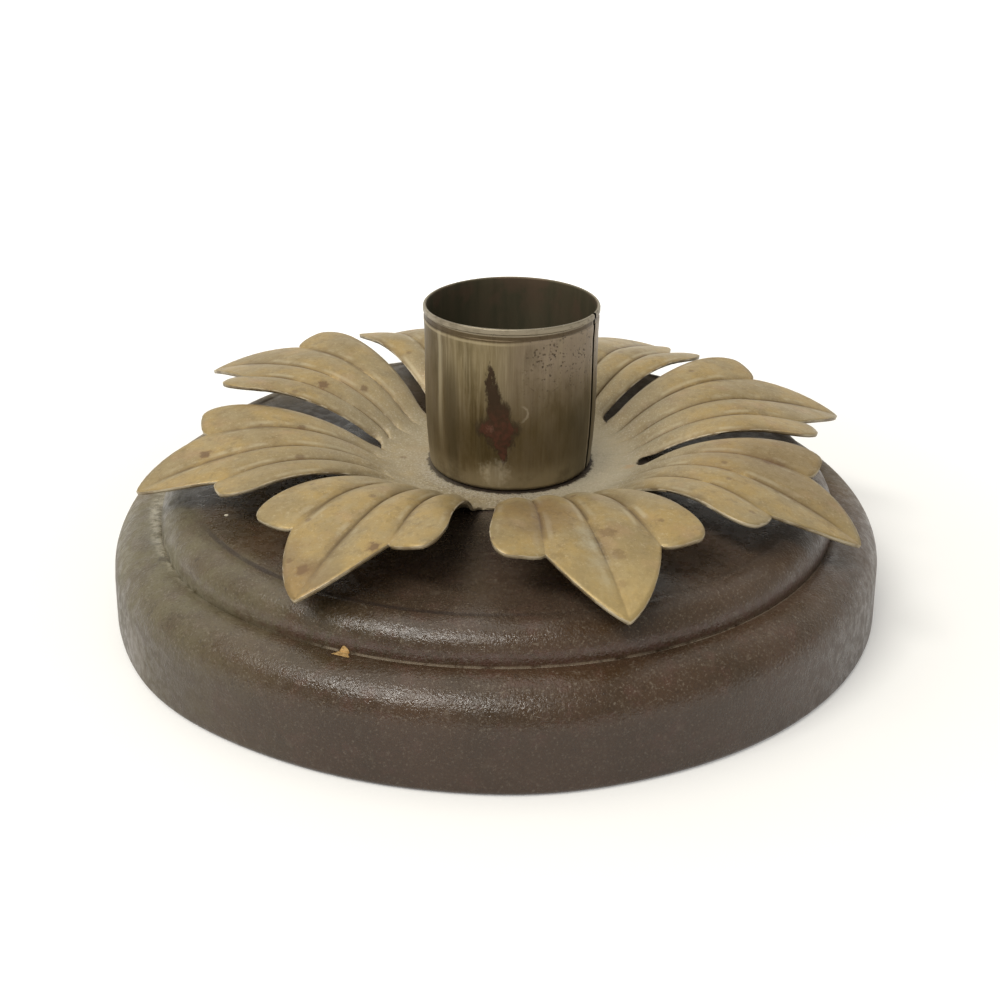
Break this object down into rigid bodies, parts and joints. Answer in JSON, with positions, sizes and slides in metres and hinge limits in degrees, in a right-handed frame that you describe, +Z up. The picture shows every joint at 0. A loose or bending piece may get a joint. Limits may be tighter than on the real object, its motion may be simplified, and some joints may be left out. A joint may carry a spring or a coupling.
{
  "type": "taper candlestick",
  "caption": "Low taper candlestick: a turned dark wooden base, a fluted gilt leaf rosette arched over it, and a short tin candle cup screwed to the middle.",
  "frame": {"origin": "centre of the base's underside", "axes": "+Z up along the base's axis, -Y towards the front of the picture, +X to its right"},
  "size_m": [0.103, 0.103, 0.04],
  "materials": {
    "painted_wood": "dark brown satin paint with a fine orange-peel texture, worn at the edges",
    "gilt_tin": "dull gilt, khaki gold with small dark and rusty spots",
    "cup_tin": "aged tin with vertical streaks and a rust patch",
    "floor_tin": "dark tarnished tin",
    "screw_steel": "dull steel"
  },
  "bodies": {
    "root": {"wooden_base": "painted_wood", "leaf_rosette": "gilt_tin", "cup_wall": "cup_tin", "cup_floor": "floor_tin", "centre_screw": "screw_steel"}
  },
  "joints": []
}
